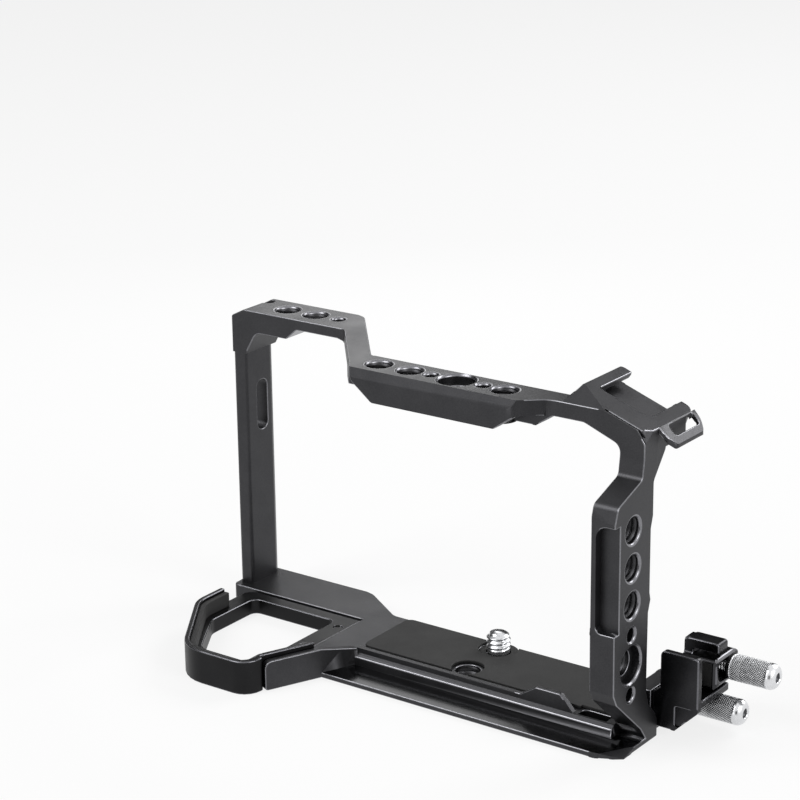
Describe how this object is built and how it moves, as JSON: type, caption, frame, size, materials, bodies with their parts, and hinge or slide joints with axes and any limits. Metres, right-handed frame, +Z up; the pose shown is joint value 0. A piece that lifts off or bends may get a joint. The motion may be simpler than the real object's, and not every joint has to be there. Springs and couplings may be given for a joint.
{
  "type": "camera cage",
  "caption": "Open metal cage for a compact camera, with tapped bars, a side plate, a sloping accessory shoe, a quick-release foot and a cable clamp with thumb screws.",
  "frame": {"origin": "centre of the tripod socket on the underside", "axes": "+Z up out of the underside, -Y the front where the lens looks, +X towards the side plate and the cable clamp"},
  "size_m": [0.1629, 0.0638, 0.0862],
  "materials": {
    "frame_black": "bead-blasted, black anodised",
    "tray_black": "fine bead-blasted, black anodised",
    "clamp_black": "smooth, black anodised, satin",
    "silicone": "matte",
    "steel_bright": "knurled, nickel plated",
    "steel_satin": "satin, ground",
    "steel_black": "black oxide",
    "magnet": "nickel plated"
  },
  "bodies": {
    "frame": {"base_plate": "frame_black", "side_plate": "frame_black", "top_bar": "frame_black", "left_post": "frame_black", "accessory_shoe": "frame_black", "grip_tray": "tray_black", "grip_tray_liner": "silicone", "grip_tray_screws": "steel_black", "base_pad": "silicone", "screw_ring": "silicone", "key_magnets": "magnet", "clamp_bracket": "clamp_black", "bracket_pins": "steel_satin", "channel_pad": "silicone"},
    "screw_seat": {"screw_washer": "steel_black"},
    "camera_screw": {"camera_screw": "steel_bright"},
    "key": {"stowed_key": "steel_satin"},
    "jaw": {"clamp_jaw": "clamp_black", "jaw_pad": "silicone"},
    "jaw_washer": {"clamp_washer": "steel_black"},
    "jaw_screw": {"clamp_thumb_screw": "steel_bright"},
    "bracket_seat": {"bracket_washer": "steel_black"},
    "bracket_screw": {"bracket_thumb_screw": "steel_bright"}
  },
  "joints": [
    {"name": "camera_screw_drop", "type": "slide", "parent": "frame", "child": "screw_seat", "axis": [0, 0, -1], "range_m": [0, 0.0051]},
    {"name": "camera_screw_turn", "type": "hinge", "parent": "screw_seat", "child": "camera_screw", "pos_m": [0, 0.014, 0], "axis": [0, 0, -1], "range_deg": [0, 1440]},
    {"name": "key_drop", "type": "slide", "parent": "frame", "child": "key", "axis": [0, 0, -1], "range_m": [0, 0.004]},
    {"name": "jaw_slide", "type": "slide", "parent": "frame", "child": "jaw", "axis": [0, 1, 0], "range_m": [0, 0.0037]},
    {"name": "jaw_screw_out", "type": "slide", "parent": "frame", "child": "jaw_washer", "axis": [1, 0, 0], "range_m": [0, 0.00141]},
    {"name": "jaw_screw_turn", "type": "hinge", "parent": "jaw_washer", "child": "jaw_screw", "pos_m": [0.064, 0.0194, 0.0148], "axis": [1, 0, 0], "range_deg": [0, 720]},
    {"name": "bracket_screw_out", "type": "slide", "parent": "frame", "child": "bracket_seat", "axis": [1, 0, 0], "range_m": [0, 0.00281]},
    {"name": "bracket_screw_turn", "type": "hinge", "parent": "bracket_seat", "child": "bracket_screw", "pos_m": [0.0579, 0.016, 0.005], "axis": [1, 0, 0], "range_deg": [0, 1440]}
  ],
  "couplings": [
    {"joint": "camera_screw_drop", "follows": "camera_screw_turn", "m_per_rad": 0.00020213},
    {"joint": "jaw_screw_out", "follows": "jaw_screw_turn", "m_per_rad": 0.00011141},
    {"joint": "bracket_screw_out", "follows": "bracket_screw_turn", "m_per_rad": 0.00011141}
  ]
}
